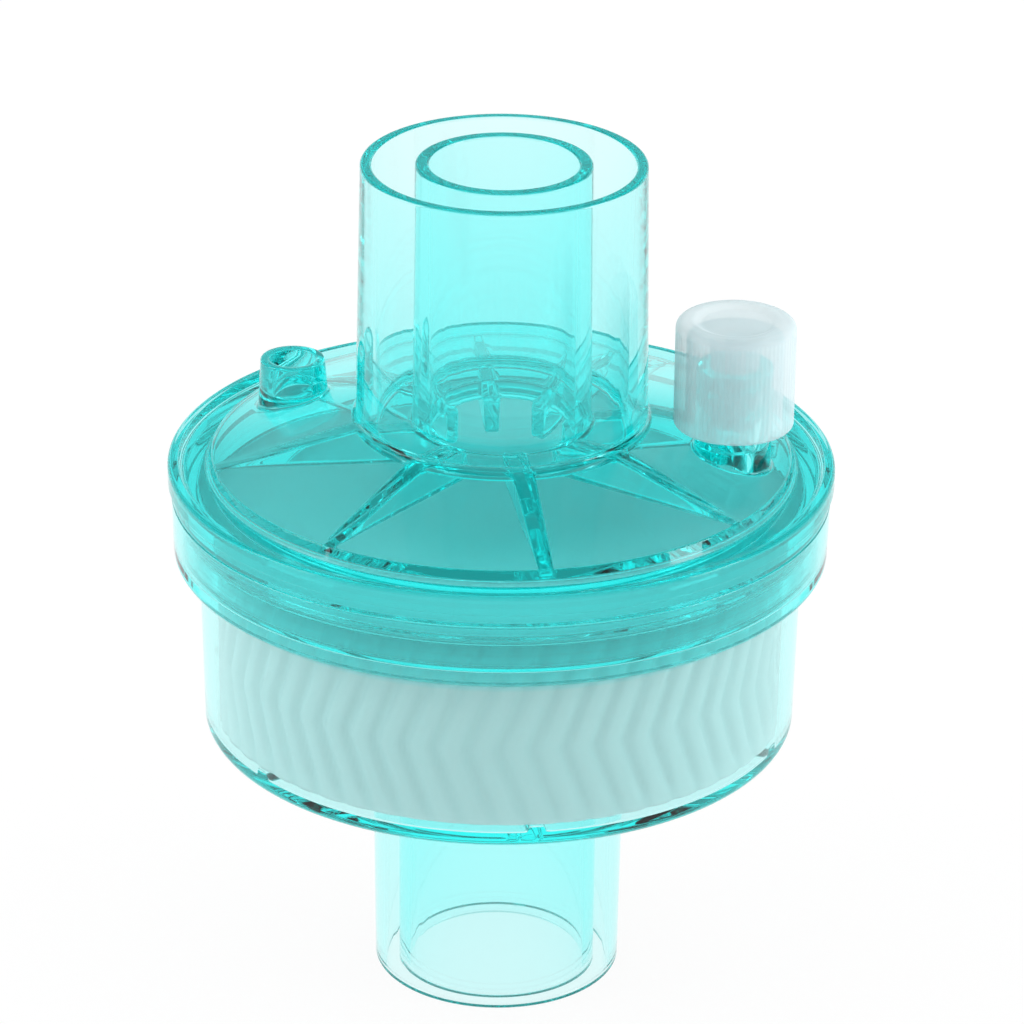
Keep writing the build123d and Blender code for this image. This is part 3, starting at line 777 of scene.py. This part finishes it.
# Filter membrane: a white nonwoven disc, clamped at its edge and slightly pillowed between.
MEMBRANE_R, MEMBRANE_Z, MEMBRANE_THICKNESS = 26.1, 43.5, 0.45
MEMBRANE_BOW, MEMBRANE_PLAY, MEMBRANE_COLUMNS = 0.06, 0.02, 180


def axis_faces(rows, columns):
    """Quads of a grid open at both ends, and a fan of triangles to a point at each end."""
    low, high = rows * columns, rows * columns + 1
    j = np.arange(columns)
    j_next = (j + 1) % columns
    top = (rows - 1) * columns
    first = np.stack([j_next, j, np.full(columns, low), np.full(columns, low)], axis=1)
    last = np.stack([top + j, top + j_next, np.full(columns, high), np.full(columns, high)], axis=1)
    return np.concatenate([grid_faces(rows, columns, False), first, last])


def pulp_white(name, colour, deep_colour, grain, bump_height):
    """White fibre sheet: one fine noise raises the fibres in the bump and mottles the colour."""
    material = bpy.data.materials.new(name)
    material.use_nodes = True
    nodes, links = material.node_tree.nodes, material.node_tree.links
    sheet = nodes["Principled BSDF"]
    sheet.inputs["Roughness"].default_value = 0.9
    sheet.inputs["Specular IOR Level"].default_value = 0.1
    where = nodes.new("ShaderNodeTexCoord")
    fibres = nodes.new("ShaderNodeTexNoise")
    fibres.inputs["Scale"].default_value = grain
    fibres.inputs["Detail"].default_value = 6.0
    fibres.inputs["Distortion"].default_value = 1.5
    links.new(where.outputs["Object"], fibres.inputs["Vector"])
    mottle = nodes.new("ShaderNodeMix")
    mottle.data_type = "RGBA"
    mottle.inputs["A"].default_value = (*deep_colour, 1)
    mottle.inputs["B"].default_value = (*colour, 1)
    links.new(fibres.outputs["Fac"], mottle.inputs["Factor"])
    links.new(mottle.outputs["Result"], sheet.inputs["Base Color"])
    bump = nodes.new("ShaderNodeBump")
    bump.inputs["Strength"].default_value = 0.5
    bump.inputs["Distance"].default_value = bump_height * MM
    links.new(fibres.outputs["Fac"], bump.inputs["Height"])
    links.new(bump.outputs["Normal"], sheet.inputs["Normal"])
    return material


# Both colours are white tinted teal: painted light, standing for the teal light that reaches the membrane
# through the housing. The mottle between them is the fibres' own.
membrane_painted_teal_light = pulp_white("membrane_painted_teal_light", (0.84, 0.98, 0.98), (0.78, 0.96, 0.96), 1400.0, 0.06)

membrane_r = np.concatenate([np.linspace(0.5, 25.6, 40), np.linspace(25.8, MEMBRANE_R, 4)])
membrane_bow = MEMBRANE_BOW * (1 - (membrane_r / MEMBRANE_R) ** 2)
top_side = np.column_stack([membrane_r, MEMBRANE_Z + MEMBRANE_THICKNESS + membrane_bow - MEMBRANE_PLAY])
under_side = np.column_stack([membrane_r, MEMBRANE_Z + membrane_bow])
membrane_section = np.concatenate([under_side, top_side[::-1]])
one_turn = np.linspace(0, 2 * np.pi, MEMBRANE_COLUMNS, endpoint=False)
membrane_angles = np.tile(one_turn, (len(membrane_section), 1))
membrane_points = turned_grid(
    membrane_section, membrane_section, membrane_angles, np.zeros(MEMBRANE_COLUMNS)
)
poles = np.array(((0, 0, under_side[0, 1]), (0, 0, top_side[0, 1])))
add_piece(
    "membrane_disc",
    np.concatenate([membrane_points.reshape(-1, 3), poles]),
    axis_faces(*membrane_points.shape[:2]),
    membrane_painted_teal_light,
    "filter",
    "filter_membrane",
)

# Paper roll: a corrugated strip wound on itself. Its flutes are folded to a chevron that points
# to the left from the front, and both ends show the edge of the wound strip.
ROLL_R, ROLL_FOOT_Z, ROLL_TOP_Z, ROLL_APEX_Z = 24.6, 25.72, 43.2, 32.7
FLUTE_COUNT, FLUTE_DEPTH, FLUTE_LEAN, TURN_PITCH, TURN_DEPTH = 58, 0.5, np.tan(np.radians(20)), 1.3, 0.35
FLUTE_SHARPNESS, FOOT_PRESSED, ROLL_EDGE, COLUMNS_A_FLUTE, SIDE_ROWS, END_RINGS = 2.6, 2.0, 0.1, 8, 56, 34

roll_white = pulp_white("roll_white", (0.96, 0.97, 0.97), (0.92, 0.95, 0.95), 2200.0, 0.03)
nodes, links = roll_white.node_tree.nodes, roll_white.node_tree.links
sheet = nodes["Principled BSDF"]
# The flute valleys are darkened in the paper's colour by their fold depth: painted shade in the creases.
in_fold = nodes.new("ShaderNodeAttribute")
in_fold.attribute_name = "fold"
painted_fold_shade = nodes.new("ShaderNodeMix")
painted_fold_shade.data_type = "RGBA"
painted_fold_shade.blend_type = "MULTIPLY"
painted_fold_shade.inputs["B"].default_value = (0.92, 0.95, 0.95, 1)
links.new(in_fold.outputs["Fac"], painted_fold_shade.inputs["Factor"])
links.new(sheet.inputs["Base Color"].links[0].from_socket, painted_fold_shade.inputs["A"])
links.new(painted_fold_shade.outputs["Result"], sheet.inputs["Base Color"])

roll_columns = FLUTE_COUNT * COLUMNS_A_FLUTE
roll_angle = np.linspace(0, 2 * np.pi, roll_columns, endpoint=False)


def flute_wave(angle, height):
    """Depth share of the flutes, 0 on a crest: ((1 - cos(N (angle - lean))) / 2) ^ sharpness, where
    the lean grows with the distance from the apex ring."""
    lean = np.sqrt((height - ROLL_APEX_Z) ** 2 + 0.04) * FLUTE_LEAN / ROLL_R
    return ((1 - np.cos(FLUTE_COUNT * (angle - lean))) / 2) ** FLUTE_SHARPNESS


def fold_depth(height):
    """Depth of the flutes, pressed nearly flat at the foot, where the roll sits on the floor ribs."""
    return FLUTE_DEPTH * np.clip((height - ROLL_FOOT_Z) / FOOT_PRESSED, 0.25, 1)


side_z = np.linspace(ROLL_FOOT_Z + ROLL_EDGE, ROLL_TOP_Z - ROLL_EDGE, SIDE_ROWS)[:, None]
side_fold = flute_wave(roll_angle, side_z)
side_r = ROLL_R - fold_depth(side_z) * side_fold


def wound_end(height, inward):
    """End face: a groove that winds in by one pitch a turn, z = end + depth sin^2 of the phase."""
    share = np.linspace(1, 0.02, END_RINGS)[:, None]
    rim = ROLL_R - fold_depth(height) * flute_wave(roll_angle, np.array(height + inward * ROLL_EDGE))
    radius = share * (rim - ROLL_EDGE)
    depth = TURN_DEPTH * np.sin(np.pi * (radius / TURN_PITCH - roll_angle / (2 * np.pi))) ** 2
    along, across = radius * np.cos(roll_angle), radius * np.sin(roll_angle)
    return np.stack([along, across, height + inward * depth], axis=-1)


side_x, side_y = side_r * np.cos(roll_angle), side_r * np.sin(roll_angle)
roll_side = np.stack([side_x, side_y, side_z + 0 * side_r], axis=-1)
roll_points = np.concatenate([wound_end(ROLL_FOOT_Z, 1)[::-1], roll_side, wound_end(ROLL_TOP_Z, -1)])
poles = np.array(((0, 0, ROLL_FOOT_Z + ROLL_EDGE), (0, 0, ROLL_TOP_Z - ROLL_EDGE)))
roll = add_piece(
    "paper_roll",
    np.concatenate([roll_points.reshape(-1, 3), poles]),
    axis_faces(*roll_points.shape[:2]),
    roll_white,
    "filter",
    "hme_paper_roll",
)
# Each side point's flute depth share, which darkens the paper's colour as painted shade in the valleys.
fold_values = np.zeros(len(roll.data.vertices))
first_side = (len(roll_points) - len(side_z)) // 2 * roll_columns
fold_values[first_side:first_side + side_fold.size] = side_fold.ravel()
roll.data.attributes.new("fold", "FLOAT", "POINT").data.foreach_set("value", fold_values)

# Luer cap: one milky moulding with fine upright ribs round its grip, a shallow dimple on top and
# the plug that seals the sampling port.
CAP_R, CAP_FOOT_Z, CAP_TOP_Z, CAP_BORE_R, CAP_ROOF = 5.13, 53.61, 63.16, 4.15, 1.4
GRIP_COUNT, GRIP_DEPTH = 72, 0.02
PLUG_ROOT_R, PLUG_TIP_R, PLUG_TIP_Z, PLUG_HOLE_R = 2.16, 1.93, 53.86, 0.9
CAP_VEIL_FACING, CAP_VEIL_GRAZING = 0.31, 0.72

milky = bpy.data.materials.new("milky_plastic")
milky.use_nodes = True
nodes, links = milky.node_tree.nodes, milky.node_tree.links
milk = nodes["Principled BSDF"]
milk.inputs["Base Color"].default_value = (0.72, 0.88, 0.92, 1)
milk.inputs["Specular IOR Level"].default_value = 0.35
facing = nodes.new("ShaderNodeLayerWeight")
facing.inputs["Blend"].default_value = 0.35
veil = nodes.new("ShaderNodeMapRange")
veil.inputs["To Min"].default_value = CAP_VEIL_FACING
veil.inputs["To Max"].default_value = CAP_VEIL_GRAZING
links.new(facing.outputs["Facing"], veil.inputs["Value"])
links.new(veil.outputs["Result"], milk.inputs["Alpha"])
marks = nodes.new("ShaderNodeGroup")
marks.node_tree = moulding_marks
marks.inputs["Least Roughness"].default_value = 0.3
marks.inputs["Most Roughness"].default_value = 0.4
bump = nodes.new("ShaderNodeBump")
bump.inputs["Strength"].default_value = 0.1
bump.inputs["Distance"].default_value = 0.01 * MM
links.new(marks.outputs["Height"], bump.inputs["Height"])
links.new(bump.outputs["Normal"], milk.inputs["Normal"])
links.new(marks.outputs["Roughness"], milk.inputs["Roughness"])

roof_z = CAP_TOP_Z - CAP_ROOF
cap_section, _ = rounded_section((
    (0.02, CAP_TOP_Z - 0.35, 0.005),
    (3.0, CAP_TOP_Z - 0.35, 0.8),
    (3.7, CAP_TOP_Z, 0.8),
    (CAP_R, CAP_TOP_Z, 0.8, 14, 8),
    (CAP_R, CAP_FOOT_Z, 0.4),
    (CAP_BORE_R, CAP_FOOT_Z, 0.2),
    (CAP_BORE_R, roof_z, 0.3),
    (PLUG_ROOT_R, roof_z, 0.2),
    (PLUG_TIP_R, PLUG_TIP_Z, 0.2),
    (PLUG_HOLE_R, PLUG_TIP_Z, 0.15),
    (PLUG_HOLE_R, roof_z, 0.15),
    (0.02, roof_z, 0.005),
))
first_row = ARC_STEPS
last_row = len(cap_section) - 3
cap_section = cap_section[first_row:last_row]
cap_angle = np.linspace(0, 2 * np.pi, GRIP_COUNT * 6, endpoint=False)
on_grip = np.clip((cap_section[:, 0] - CAP_R + 0.5) / 0.5, 0, 1)
on_grip *= np.clip((CAP_TOP_Z - 0.5 - cap_section[:, 1]) / 0.6, 0, 1)
on_grip *= np.clip((cap_section[:, 1] - CAP_FOOT_Z - 0.15) / 0.3, 0, 1)
ribs = np.sin(GRIP_COUNT / 2 * cap_angle) ** 2
cap_r = cap_section[:, :1] - GRIP_DEPTH * on_grip[:, None] * (1 - ribs)
cap_points = np.stack([
    port_centre[0] + cap_r * np.cos(cap_angle),
    port_centre[1] + cap_r * np.sin(cap_angle),
    cap_section[:, 1:] + 0 * cap_r,
], axis=-1)
poles = np.array(((*port_centre, cap_section[0, 1]), (*port_centre, cap_section[-1, 1])))
add_piece(
    "luer_cap_milky",
    np.concatenate([cap_points.reshape(-1, 3), poles]),
    axis_faces(*cap_points.shape[:2]),
    milky,
    "cap",
    "luer_cap",
)

bpy.context.view_layer.update()
